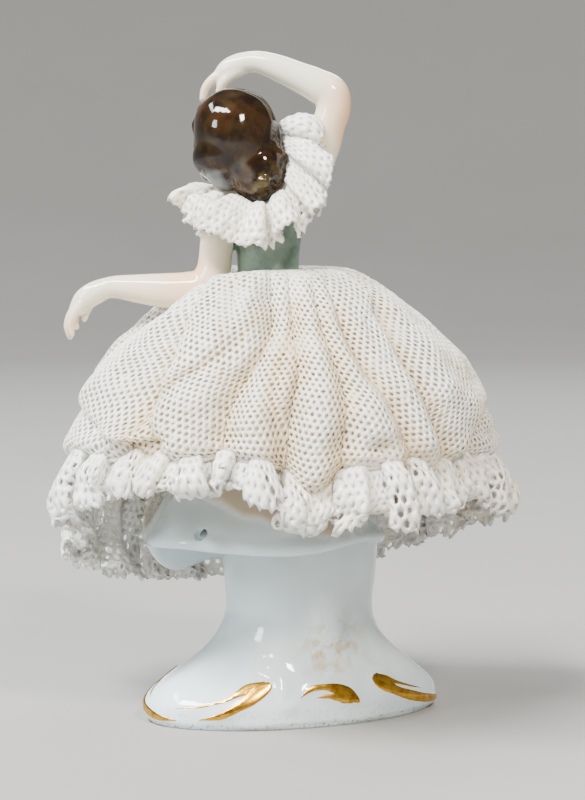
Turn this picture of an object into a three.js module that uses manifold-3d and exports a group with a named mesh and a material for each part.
// A porcelain dancer in a lace gown, seen from behind when looked at along +Y.
// The figure is one glazed casting: an oval footed pedestal, a flared underskirt, the bodice, both arms
// and the head with its dressed hair. Over it lie three applied laces, each fired as its own stiff shell:
// a net overskirt, a ruffled flounce under its hem and a ruffled collar round the shoulders.
// Millimetres, +Z up, the origin at the centre of the foot's underside.
import * as THREE from "three";
import { mergeVertices } from "three/addons/utils/BufferGeometryUtils.js";
import Module from "manifold-3d";

const wasm = await Module();
wasm.setup();

// Foot and pedestal
const footLength = 56.4;
const footWidth = 34;
const footTurn = THREE.MathUtils.degToRad(26);
const footEdgeHeight = 3;
const footUndercut = 0.8;
const flareFall = 8.3;
const neckRadius = 12.9;
const neckLean = 1.3;
const scrollRadius = 1.3;

// Flared porcelain underskirt
const bellWidth = 44;
const bellDepth = 42;
const bellSideways = -6.3;
const bellBack = -4;
const lipHeight = 32.2;
const lipThickness = 1.6;
const lipDip = 6.5;
const lipWave = 0.5;
const hollowDepth = 4;
const ventRadius = 1;
const ventAngle = THREE.MathUtils.degToRad(243);

// Waist and dancer. The dancer's pose is given in shares of her height above the waist.
const waistHeight = 80;
const waistWidth = 11.4;
const waistDepth = 9.4;
const waistSideways = -4.4;
const dancerHeight = 40;

// Laces
const laceThickness = 0.8;
const fitGap = 0.3;
const overskirtReach = 40.4;
const overskirtDepthShare = 0.93;
const overskirtSideways = -2.2;
const hemHeight = 48.7;
const hemTilt = 1.3;
const hemFrontDrop = 11.5;
const hemLobeDrop = 4.5;
const foldDepth = 2.8;
const armHollowDepth = 7;
const armHollowWidth = 5.5;
const flounceDrop = 7;
const flounceFlare = 6.4;
const flounceFrontDrop = 11.5;
const ruffleCount = 36;
const ruffleDepth = 1.7;
const ruffleFlutter = 0.6;
const collarRuffleCount = 16;
const collarRuffleDepth = 1.1;
const collarPuff = 1.2;

// Angles round the gown are counted from the side nearest the viewer, +X to the right being positive.
const frontLow = THREE.MathUtils.degToRad(-160);

const lerp = THREE.MathUtils.lerp;
const degrees = THREE.MathUtils.degToRad;
const smooth = (low, high, value) => THREE.MathUtils.smoothstep(value, low, high);

// Shortest way round from one angle to another
function turnBetween(from, to) {
  return Math.atan2(Math.sin(to - from), Math.cos(to - from));
}

// Straight lines between [key, value, value ...] rows, read at one key
function between(rows, key) {
  const next = Math.max(1, rows.findIndex((row) => row[0] >= key));
  const end = rows[next] ?? rows[rows.length - 1];
  const start = rows[next - 1];
  const share = THREE.MathUtils.clamp((key - start[0]) / (end[0] - start[0]), 0, 1);
  return start.map((value, i) => lerp(value, end[i], share));
}

// A closed geometry from a function of row and column. Rows close on themselves or end in flat fans.
function gridGeometry(rowCount, columnCount, pointAt, closedRows) {
  const positions = [];
  for (let row = 0; row < rowCount; row++) {
    for (let column = 0; column < columnCount; column++) {
      positions.push(...pointAt(row, column).toArray());
    }
  }
  const at = (row, column) => (row % rowCount) * columnCount + (column % columnCount);
  const faces = [];
  for (let row = 0; row < (closedRows ? rowCount : rowCount - 1); row++) {
    for (let column = 0; column < columnCount; column++) {
      const [a, b] = [at(row, column), at(row, column + 1)];
      const [c, d] = [at(row + 1, column + 1), at(row + 1, column)];
      faces.push(a, b, c, a, c, d);
    }
  }
  if (!closedRows) {
    for (const row of [0, rowCount - 1]) {
      const centre = new THREE.Vector3();
      for (let column = 0; column < columnCount; column++) centre.add(pointAt(row, column));
      const hub = positions.length / 3;
      positions.push(...centre.divideScalar(columnCount).toArray());
      for (let column = 0; column < columnCount; column++) {
        const [a, b] = [at(row, column), at(row, column + 1)];
        faces.push(...(row === 0 ? [hub, b, a] : [hub, a, b]));
      }
    }
  }
  const geometry = new THREE.BufferGeometry();
  geometry.setAttribute("position", new THREE.Float32BufferAttribute(positions, 3));
  geometry.setIndex(faces);
  return geometry;
}

// A three.js geometry as a solid that can be joined and cut
function solidOf(geometry) {
  const bare = geometry.clone();
  bare.deleteAttribute("normal");
  bare.deleteAttribute("uv");
  const merged = mergeVertices(bare, 1e-4);
  return new wasm.Manifold(
    new wasm.Mesh({
      numProp: 3,
      vertProperties: new Float32Array(merged.attributes.position.array),
      triVerts: new Uint32Array(merged.index.array),
    }),
  );
}

// The largest body of a solid, back as a three.js mesh
function meshOf(solid, name, color, roughness) {
  const bodies = solid.decompose().sort((a, b) => b.volume() - a.volume());
  const made = bodies[0].getMesh();
  const geometry = new THREE.BufferGeometry();
  geometry.setAttribute("position", new THREE.BufferAttribute(new Float32Array(made.vertProperties), 3));
  geometry.setIndex(new THREE.BufferAttribute(new Uint32Array(made.triVerts), 1));
  geometry.computeVertexNormals();
  const mesh = new THREE.Mesh(
    geometry,
    new THREE.MeshStandardMaterial({ color, roughness, metalness: 0 }),
  );
  mesh.name = name;
  return mesh;
}

const joined = (solids) => solids.reduce((whole, part) => whole.add(part));

// Pedestal, underskirt and gown as one turned form

// Half-length, half-width and sideways shift of the pedestal at a height
function pedestalSection(z) {
  const share = Math.exp(-Math.pow(Math.max(0, z - footEdgeHeight) / flareFall, 1.8));
  const round = footUndercut * Math.max(0, 1 - z / (footEdgeHeight / 2)) ** 2;
  return {
    length: lerp(neckRadius, footLength / 2, share) - round,
    width: lerp(neckRadius, footWidth / 2, share) - round,
    shift: lerp(neckLean, 0, share),
  };
}

function pedestalPoint(z, angle) {
  const { length, width, shift } = pedestalSection(z);
  const [x, y] = [length * Math.cos(angle), width * Math.sin(angle)];
  const [c, s] = [Math.cos(footTurn), Math.sin(footTurn)];
  return new THREE.Vector3(shift + x * c - y * s, x * s + y * c, z);
}

// A point of the underskirt: reach from 0 at its axis to 1 at the lip, and height above the lip
function underskirtPoint(reach, rise, angle, sag) {
  const wave = 1 + 0.045 * reach * Math.sin(5 * angle + 0.6) + 0.03 * reach * Math.sin(3 * angle + 2);
  const x = bellSideways + (bellWidth / 2) * reach * wave * Math.cos(angle);
  const y = bellBack + (bellDepth / 2) * reach * wave * Math.sin(angle);
  const dip = lipDip * smooth(0, bellDepth / 2, y) + lipWave * Math.sin(4 * angle + 1);
  return new THREE.Vector3(x, y, lipHeight + rise - dip * sag);
}

// From the lip up to the waist: [rise above the lip, share of the lip's reach]
const gownHeight = waistHeight - lipHeight;
const gownProfile = [
  [0.02, 1],
  [0.12, 0.84],
  [0.28, 0.63],
  [0.5, 0.44],
  [0.75, 0.31],
];

function standGeometry() {
  const columns = 36;
  const shares = [0, 0.026, 0.067, 0.14, 0.244, 0.356, 0.48, 0.667, 1];
  const pedestalRows = shares.map((share) => share * (lipHeight - lipDip + lipThickness));
  const rows = pedestalRows.map((z) => (angle) => pedestalPoint(z, angle - footTurn));
  const neck = (2 * neckRadius) / (bellWidth / 2 + bellDepth / 2);
  const lipIn = 1 - lipThickness / (bellWidth / 2);
  const underside = [
    [0.35, hollowDepth],
    [0.85, hollowDepth * 0.75],
    [1, 0.4],
  ];
  rows.push((angle) => {
    const top = pedestalPoint(pedestalRows.at(-1), angle - footTurn);
    return top.setZ(lipHeight + hollowDepth - lipDip * smooth(0, bellDepth / 2, top.y));
  });
  for (const [share, rise] of underside) {
    rows.push((angle) => underskirtPoint(lerp(neck, lipIn, share), rise, angle, 1));
  }
  rows.push((angle) => underskirtPoint(lerp(lipIn, 1, 0.6), 0, angle, 1));
  for (const [share, reach] of gownProfile) {
    rows.push((angle) => {
      const point = underskirtPoint(reach, gownHeight * share, angle, 1 - share);
      const lean = smooth(0.1, 1, share);
      point.x = lerp(point.x, waistSideways + (point.x - bellSideways), lean);
      point.y = lerp(point.y, point.y - bellBack, lean);
      return point;
    });
  }
  rows.push((angle) => new THREE.Vector3(
    waistSideways + (waistWidth / 2) * Math.cos(angle),
    (waistDepth / 2) * Math.sin(angle),
    waistHeight,
  ));
  const pointAt = (row, column) => rows[row]((2 * Math.PI * column) / columns);
  return gridGeometry(rows.length, columns, pointAt, false);
}

// Scrolls lying on each long side of the foot: [tail angle, tail height, head angle, head height, arch]
const footScrolls = [
  [-157, 3, -119, 8.6, 0.6],
  [-106, 5.2, -80, 5, 2.2],
  [-32, 2.8, -66, 7.8, 0.3],
];

// A scroll is thick at its head and runs out to a point
function footScroll([tailAngle, tailHeight, headAngle, headHeight, arch], side) {
  const steps = 3;
  const path = [];
  for (let i = 0; i <= steps; i++) {
    const share = i / steps;
    const z = lerp(headHeight, tailHeight, share) + arch * Math.sin(Math.PI * share);
    const at = pedestalPoint(z, degrees(lerp(headAngle, tailAngle, share) + side));
    path.push({ at, radius: scrollRadius * (1 - 0.75 * share) });
  }
  return limb(path, 4, steps);
}

// The firing vent, drilled level through the underskirt's wall into the hollow
function ventHole() {
  const rise = lipThickness + 1.2 * ventRadius;
  const [outside, inside] = [1.1, 0.72].map((reach) => underskirtPoint(reach, rise, ventAngle, 1));
  return limb([{ at: outside, radius: ventRadius }, { at: inside, radius: ventRadius }], 8, 2);
}

// Limbs

// A closed tube through stations of place and radius, with its ends rounded off
function limb(stations, sides, steps) {
  const curve = new THREE.CatmullRomCurve3(stations.map((station) => station.at), false, "centripetal");
  const frames = curve.computeFrenetFrames(steps, false);
  const radiusAt = (share) => {
    const place = share * (stations.length - 1);
    const first = Math.min(Math.floor(place), stations.length - 2);
    return lerp(stations[first].radius, stations[first + 1].radius, place - first);
  };
  const rings = [];
  for (let i = 0; i <= steps; i++) rings.push({ step: i, share: i / steps, out: 0, size: 1 });
  const last = rings[rings.length - 1];
  rings.unshift({ ...rings[0], out: -0.7, size: 0.68 });
  rings.push({ ...last, out: 0.7, size: 0.68 });
  const pointAt = (row, column) => {
    const ring = rings[row];
    const radius = radiusAt(ring.share);
    const angle = (2 * Math.PI * column) / sides;
    return curve.getPoint(ring.share)
      .addScaledVector(frames.tangents[ring.step], ring.out * radius)
      .addScaledVector(frames.normals[ring.step], ring.size * radius * Math.cos(angle))
      .addScaledVector(frames.binormals[ring.step], ring.size * radius * Math.sin(angle));
  };
  return solidOf(gridGeometry(rings.length, sides, pointAt, false));
}

// The dancer's own frame: shares of her height, from the middle of the waist
function bodyPoint(x, y, z) {
  return new THREE.Vector3(x, y, z).multiplyScalar(dancerHeight)
    .add(new THREE.Vector3(waistSideways, 0, waistHeight));
}

// Rows of x, y, z and radius, all in shares of her height; grow thickens the limb for a clearance
function bodyLimb(rows, sides, steps, grow) {
  const stations = rows.map(([x, y, z, radius]) => ({
    at: bodyPoint(x, y, z),
    radius: radius * dancerHeight + grow,
  }));
  return limb(stations, sides, steps);
}

function ball(x, y, z, wide, deep, tall, roll, grow, segments = 12) {
  const geometry = new THREE.SphereGeometry(1, segments, Math.round(segments * 0.7));
  geometry.rotateX(Math.PI / 2);
  geometry.scale(...[wide, deep, tall].map((size) => size * dancerHeight + grow));
  geometry.rotateY(degrees(roll));
  geometry.translate(...bodyPoint(x, y, z).toArray());
  return solidOf(geometry);
}

// Bodice from the waist to the shoulders: [height, sideways, forward, half-width, half-depth, roll]
const bodiceRows = [
  [-0.03, 0, 0, 0.143, 0.118, 0],
  [0.06, 0, 0, 0.141, 0.118, -2],
  [0.15, -0.002, 0.004, 0.156, 0.126, -8],
  [0.25, -0.01, 0.012, 0.19, 0.14, -16],
  [0.34, -0.018, 0.01, 0.225, 0.136, -24],
  [0.42, -0.024, 0.002, 0.235, 0.118, -28],
  [0.48, -0.035, 0, 0.16, 0.095, -28],
  [0.515, -0.045, 0, 0.085, 0.075, -28],
];

function bodice(grow) {
  const sides = 14;
  const pointAt = (row, column) => {
    const [z, x, y, wide, deep, roll] = bodiceRows[row];
    const angle = (2 * Math.PI * column) / sides;
    const point = new THREE.Vector3(
      (wide * dancerHeight + grow) * Math.cos(angle),
      (deep * dancerHeight + grow) * Math.sin(angle),
      0,
    );
    return point.applyAxisAngle(new THREE.Vector3(0, 1, 0), degrees(roll)).add(bodyPoint(x, y, z));
  };
  return solidOf(gridGeometry(bodiceRows.length, sides, pointAt, false));
}

const loweredArm = [
  [-0.2, -0.01, 0.32, 0.088],
  [-0.222, -0.03, 0.2, 0.081],
  [-0.235, -0.04, 0.07, 0.076],
  [-0.268, -0.045, -0.05, 0.086],
  [-0.42, -0.03, -0.078, 0.082],
  [-0.58, 0, -0.068, 0.068],
  [-0.73, 0.03, -0.066, 0.052],
];
const loweredHand = [
  [-0.73, 0.03, -0.066, 0.052],
  [-0.8, 0.035, -0.1, 0.053],
  [-0.86, 0.04, -0.155, 0.045],
];
const loweredFingers = [
  [[-0.85, 0.015, -0.15, 0.024], [-0.89, 0.015, -0.205, 0.022], [-0.894, 0.02, -0.262, 0.018]],
  [[-0.86, 0.04, -0.15, 0.024], [-0.906, 0.042, -0.205, 0.022], [-0.906, 0.044, -0.275, 0.018]],
  [[-0.85, 0.068, -0.14, 0.023], [-0.885, 0.072, -0.19, 0.02], [-0.886, 0.07, -0.245, 0.016]],
  [[-0.79, 0.07, -0.11, 0.025], [-0.82, 0.08, -0.155, 0.021], [-0.83, 0.078, -0.2, 0.017]],
];
const raisedArm = [
  [0.13, 0.0, 0.42, 0.095],
  [0.22, 0.01, 0.52, 0.088],
  [0.266, 0.02, 0.64, 0.079],
  [0.3, 0.035, 0.775, 0.08],
  [0.15, 0.055, 0.88, 0.068],
  [0, 0.075, 0.94, 0.06],
  [-0.09, 0.09, 0.955, 0.05],
];
const raisedHand = [
  [-0.09, 0.09, 0.955, 0.05],
  [-0.15, 0.1, 0.93, 0.052],
  [-0.21, 0.11, 0.89, 0.045],
];
const raisedFingers = [
  [[-0.19, 0.1, 0.91, 0.027], [-0.255, 0.115, 0.87, 0.024], [-0.295, 0.13, 0.8, 0.019]],
  [[-0.2, 0.13, 0.9, 0.026], [-0.26, 0.145, 0.86, 0.023], [-0.29, 0.16, 0.79, 0.018]],
  [[-0.14, 0.08, 0.9, 0.03], [-0.2, 0.085, 0.858, 0.025], [-0.222, 0.1, 0.815, 0.02]],
];

// Head: rolled to the lowered arm's side, its face turned away from the viewer
const headCentre = [-0.141, 0.02, 0.59];
const headRoll = -15;
const headTurn = 14;

// Bumps on the head's egg: [across, up, height, width], as shares of the head's half-height, front side only
const faceForms = [
  [0, -0.1, 0.17, 0.13],
  [0, -0.24, 0.16, 0.12],
  [0, 0.02, 0.07, 0.12],
  [-0.3, 0.03, -0.075, 0.16],
  [0.3, 0.03, -0.075, 0.16],
  [0, -0.47, 0.075, 0.15],
  [0, -0.78, 0.1, 0.2],
  [-0.42, -0.24, 0.03, 0.22],
  [0.42, -0.24, 0.03, 0.22],
];

function head(grow) {
  const tall = 0.215 * dancerHeight + grow;
  const geometry = new THREE.SphereGeometry(1, 16, 12);
  geometry.rotateX(Math.PI / 2);
  const position = geometry.attributes.position;
  for (let i = 0; i < position.count; i++) {
    const point = new THREE.Vector3().fromBufferAttribute(position, i);
    let swell = 1;
    if (point.y > 0) {
      for (const [across, up, high, wide] of faceForms) {
        const away = ((point.x - across) ** 2 + (point.z - up) ** 2) / (wide * wide);
        swell += high * Math.exp(-away) * point.y;
      }
    }
    const jaw = 1 - 0.3 * (1 - smooth(-1, 0.1, point.z));
    point.set(point.x * 0.78 * jaw, point.y * 0.88 * swell, point.z).multiplyScalar(tall);
    position.setXYZ(i, point.x, point.y, point.z);
  }
  geometry.rotateZ(degrees(headTurn));
  geometry.rotateY(degrees(headRoll));
  geometry.translate(...bodyPoint(...headCentre).toArray());
  return solidOf(geometry);
}

// Hair: a full cap behind the face, gathered low on the right into a coiled bun
function hair(grow) {
  return joined([
    ball(-0.141, -0.026, 0.606, 0.2, 0.195, 0.222, headRoll, grow, 14),
    ball(-0.125, -0.05, 0.48, 0.165, 0.13, 0.13, headRoll, grow, 10),
    ball(-0.015, -0.11, 0.45, 0.122, 0.1, 0.11, 0, grow, 9),
    ball(-0.06, -0.12, 0.37, 0.08, 0.08, 0.06, 10, grow, 8),
  ]);
}

function dancer(grow) {
  const hand = (palm, fingers) => [
    bodyLimb(palm, 6, 2, grow),
    ...fingers.map((finger) => bodyLimb(finger, 4, 2, grow)),
  ];
  return joined([
    bodice(grow),
    bodyLimb([[-0.03, 0, 0.42, 0.085], [-0.09, 0.01, 0.54, 0.08]], 8, 2, grow),
    ball(-0.1, 0.105, 0.27, 0.085, 0.07, 0.075, 0, grow, 8),
    ball(0.055, 0.105, 0.33, 0.085, 0.07, 0.075, 0, grow, 8),
    bodyLimb(loweredArm, 8, 9, grow),
    ...hand(loweredHand, loweredFingers),
    bodyLimb(raisedArm, 8, 9, grow),
    ...hand(raisedHand, raisedFingers),
    head(grow),
    hair(grow),
  ]);
}

// Laces

// How far the gown's hems hang lower towards the dancer's front
function frontDrop(angle, most, power) {
  return most * Math.pow((1 + Math.cos(turnBetween(frontLow, angle))) / 2, power);
}

// Valleys of the overskirt's folds: [angle at the waist, angle at the hem, depth share, half-width]
const nearFolds = [
  [-62, -52, 2, 9],
  [-30, -30, 0.9, 6],
  [-4, -14, 1.3, 6],
  [14, 4, 1, 5],
  [33, 27, 1, 6],
  [50, 50, 1.1, 6],
];
const farFoldCount = 10;
const farFoldStart = 76;

function foldValley(angle, v) {
  const folds = [...nearFolds];
  for (let i = 0; i < farFoldCount; i++) {
    const place = lerp(farFoldStart, 360 - farFoldStart, i / (farFoldCount - 1));
    folds.push([place, place + 3 * Math.sin(4 * i), 0.9 + 0.3 * Math.sin(2.4 * i), 8]);
  }
  let depth = 0;
  for (const [top, hem, share, width] of folds) {
    const away = turnBetween(degrees(lerp(top, hem, v)), angle) / degrees(width);
    depth += share * Math.exp(-away * away);
  }
  return depth;
}

// Overskirt from the waist to its tucked hem: [v, share of the reach, share of the drop]
const overskirtProfile = [
  [0, 0.185, 0],
  [0.08, 0.27, -0.025],
  [0.18, 0.38, -0.01],
  [0.3, 0.52, 0.11],
  [0.43, 0.67, 0.28],
  [0.56, 0.81, 0.47],
  [0.7, 0.92, 0.65],
  [0.83, 0.985, 0.83],
  [0.93, 1, 0.93],
  [1, 0.93, 1],
];

// The lowered arm lies in a hollow of the skirt, which it presses down under the elbow
function armHollow(x, y) {
  const elbow = bodyPoint(...loweredArm[3]);
  const across = Math.exp(-(((y - elbow.y) / armHollowWidth) ** 2));
  return armHollowDepth * across * (1 - smooth(lerp(elbow.x, waistSideways, 0.35), waistSideways, x));
}

function overskirtPoint(v, angle, inward) {
  const [, share, fall] = between(overskirtProfile, v);
  const valley = foldValley(angle, v);
  const depth = foldDepth * valley * smooth(0, 0.55, v) * (1 - 0.45 * smooth(0.8, 1, v));
  const reach = overskirtReach * share - depth - inward;
  const lobe = Math.exp(-((turnBetween(degrees(8), angle) / degrees(9)) ** 2));
  const drop = (frontDrop(angle, hemFrontDrop, 2.2) + hemTilt * Math.sin(angle)) * smooth(0.25, 1, v)
    + hemLobeDrop * lobe * smooth(0.7, 1, v);
  const sideways = lerp(waistSideways, overskirtSideways, smooth(0, 0.5, v));
  const x = sideways + reach * Math.sin(angle);
  const y = -reach * overskirtDepthShare * Math.cos(angle);
  const top = waistHeight - (waistHeight - hemHeight) * fall - drop - armHollow(x, y) * (1 - smooth(0.3, 0.5, v));
  return new THREE.Vector3(x, y, top - inward * 0.7 * (1 - smooth(0.3, 0.8, v)));
}

// A stiff ruffled band as a closed ring with a wall: pointAt(across, angle, inward) gives its two faces
function shellRing(acrossSteps, columns, pointAt) {
  const rows = [];
  for (let i = acrossSteps; i >= 0; i--) rows.push([i / acrossSteps, 0]);
  for (let i = 0; i <= acrossSteps; i++) rows.push([i / acrossSteps, laceThickness]);
  const place = (row, column) => pointAt(rows[row][0], (2 * Math.PI * column) / columns, rows[row][1]);
  return solidOf(gridGeometry(rows.length, columns, place, true));
}

function overskirt() {
  return shellRing(6, 64, overskirtPoint);
}

// The flounce hangs from just inside the overskirt's hem and flares as it falls
function flouncePoint(across, angle, inward) {
  const top = overskirtPoint(1, angle, laceThickness / 2);
  const out = new THREE.Vector3(Math.sin(angle), -Math.cos(angle), 0);
  const wave = Math.sin(ruffleCount * angle + 0.8 * Math.sin(3 * angle));
  const flutter = Math.cos(ruffleCount * angle + 0.5);
  const fall = (flounceDrop + frontDrop(angle, flounceFrontDrop, 1.6)) * across;
  const reach = flounceFlare * Math.sin(0.75 * Math.PI * across) + ruffleDepth * wave * across - inward;
  return top.addScaledVector(out, reach)
    .add(new THREE.Vector3(0, 0, -fall - fitGap - 0.3 * inward + ruffleFlutter * flutter * across));
}

function flounce() {
  return shellRing(2, 5 * ruffleCount, flouncePoint);
}

// Collar: its inner edge hugs neck and shoulders, its outer edge hangs over the back and the arms
const collarInner = [
  [-0.282, -0.05, 0.35],
  [-0.192, -0.125, 0.31],
  [-0.102, -0.163, 0.28],
  [0, -0.175, 0.302],
  [0.085, -0.163, 0.377],
  [0.12, -0.125, 0.487],
  [0.125, -0.075, 0.6],
  [0.113, 0, 0.668],
  [0.053, 0.13, 0.58],
  [-0.03, 0.17, 0.5],
  [-0.13, 0.16, 0.427],
  [-0.25, 0.06, 0.375],
];
const collarOuter = [
  [-0.43, -0.09, 0.34],
  [-0.345, -0.2, 0.235],
  [-0.2, -0.275, 0.157],
  [-0.06, -0.3, 0.115],
  [0.158, -0.287, 0.193],
  [0.28, -0.24, 0.31],
  [0.303, -0.18, 0.45],
  [0.21, -0.06, 0.69],
  [0.15, 0.09, 0.69],
  [0.03, 0.33, 0.44],
  [-0.16, 0.31, 0.33],
  [-0.38, 0.12, 0.33],
];

const closedCurve = (rows) => new THREE.CatmullRomCurve3(rows.map((row) => bodyPoint(...row)), true);

function collar() {
  const [inner, outer] = [closedCurve(collarInner), closedCurve(collarOuter)];
  const middle = bodyPoint(-0.05, 0, 0.42);
  return shellRing(2, 5 * collarRuffleCount, (across, angle, inward) => {
    const share = angle / (2 * Math.PI);
    const [a, b] = [inner.getPoint(share), outer.getPoint(share)];
    const along = inner.getTangent(share);
    const normal = along.clone().cross(b.clone().sub(a)).normalize();
    if (normal.dot(a.clone().lerp(b, 0.5).sub(middle)) < 0) normal.negate();
    const wave = collarRuffleDepth * Math.sin(collarRuffleCount * angle) * across;
    return a.lerp(b, across).addScaledVector(normal, wave + collarPuff * Math.sin(Math.PI * across) - inward);
  });
}

// Assembly
const porcelain = 0xe9ebe8;
const laceWhite = 0xefeade;

const casting = joined([
  solidOf(standGeometry()),
  ...[0, 180].flatMap((side) => footScrolls.map((scroll) => footScroll(scroll, side))),
  dancer(0),
]).subtract(ventHole());
const clearOfDancer = dancer(fitGap);

const figurine = new THREE.Group();
figurine.name = "lace_dancer";
figurine.add(meshOf(casting, "porcelain_figure", porcelain, 0.12));
figurine.add(meshOf(overskirt().subtract(clearOfDancer), "net_overskirt", laceWhite, 0.5));
figurine.add(meshOf(flounce(), "lace_flounce", laceWhite, 0.5));
figurine.add(meshOf(collar().subtract(clearOfDancer), "lace_collar", laceWhite, 0.5));

export default figurine;
